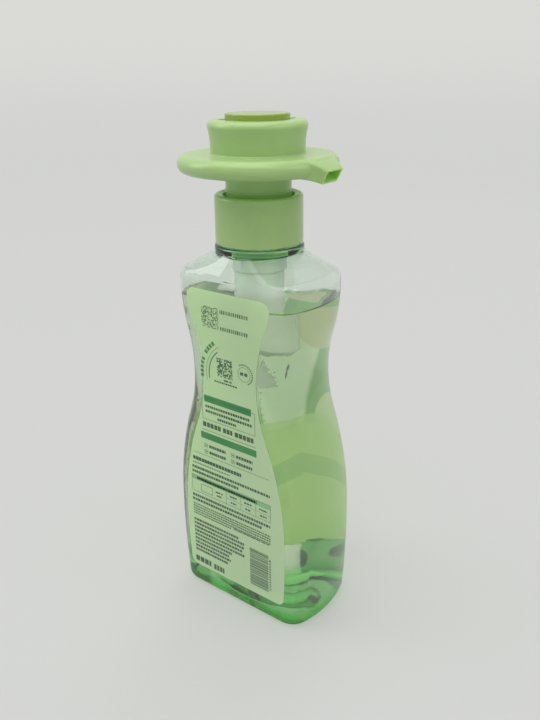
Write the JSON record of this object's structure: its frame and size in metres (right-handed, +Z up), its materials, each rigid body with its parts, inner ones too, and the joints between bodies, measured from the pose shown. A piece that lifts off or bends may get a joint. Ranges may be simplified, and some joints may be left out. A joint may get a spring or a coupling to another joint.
{
  "type": "pump bottle of laundry gel",
  "caption": "Clear waisted bottle of pale green gel with film labels, a green screw closure and a hat-shaped press pump whose brim runs out into a short spout.",
  "frame": {"origin": "centre of the base, on the plane the bottle stands on and on the axis of its neck", "axes": "+Z up along the neck's axis, +X along the bottle's width and the way the spout points, -Y the back with the printed text label"},
  "size_m": [0.0828, 0.068, 0.2357],
  "materials": {
    "clear_pet": "clear blow-moulded polyester, polished",
    "gel": "transparent pale green gel",
    "label_film": "printed plastic film, semi-gloss",
    "green_plastic": "opaque sage green moulding, glossy",
    "olive_plastic": "opaque olive green moulding, glossy",
    "natural_plastic": "translucent natural polypropylene",
    "spring_steel": "drawn stainless spring wire",
    "ball_glass": "clear glass ball",
    "seal_rubber": "soft white sealing elastomer"
  },
  "bodies": {
    "bottle": {"bottle": "clear_pet", "gel_fill": "gel", "front_label": "label_film", "back_label": "label_film"},
    "pump": {"pump_housing": "natural_plastic", "neck_gasket": "seal_rubber", "guide_collar": "natural_plastic", "stem_wiper": "seal_rubber", "dip_tube": "natural_plastic", "ball_retainer": "natural_plastic", "return_spring": "spring_steel"},
    "closure": {"closure": "green_plastic"},
    "stem": {"pump_stem": "natural_plastic", "stem_plug": "natural_plastic"},
    "head": {"actuator_base": "green_plastic", "actuator_shell": "green_plastic", "crown_disc": "olive_plastic"},
    "piston": {"piston": "natural_plastic"},
    "ball": {"inlet_ball": "ball_glass"}
  },
  "joints": [
    {"name": "pump_lift", "type": "slide", "parent": "bottle", "child": "pump", "axis": [0, 0, 1], "range_m": [0, 0.003]},
    {"name": "closure_turn", "type": "hinge", "parent": "pump", "child": "closure", "pos_m": [0, 0, 0.19], "axis": [0, 0, 1], "range_deg": [0, 270]},
    {"name": "press", "type": "slide", "parent": "pump", "child": "stem", "axis": [0, 0, 1], "range_m": [-0.0086, 0], "stiffness_N_per_m": 1000, "springref_m": 0.015, "deforming": ["return_spring"]},
    {"name": "head_turn", "type": "hinge", "parent": "stem", "child": "head", "pos_m": [0, 0, 0.21], "axis": [0, 0, 1], "continuous": true},
    {"name": "piston_slip", "type": "slide", "parent": "stem", "child": "piston", "axis": [0, 0, 1], "range_m": [0, 0.0009]},
    {"name": "ball_lift", "type": "slide", "parent": "pump", "child": "ball", "axis": [0, 0, 1], "range_m": [0, 0.0012]}
  ],
  "couplings": [
    {"joint": "pump_lift", "follows": "closure_turn", "m_per_rad": 0.0006366}
  ]
}
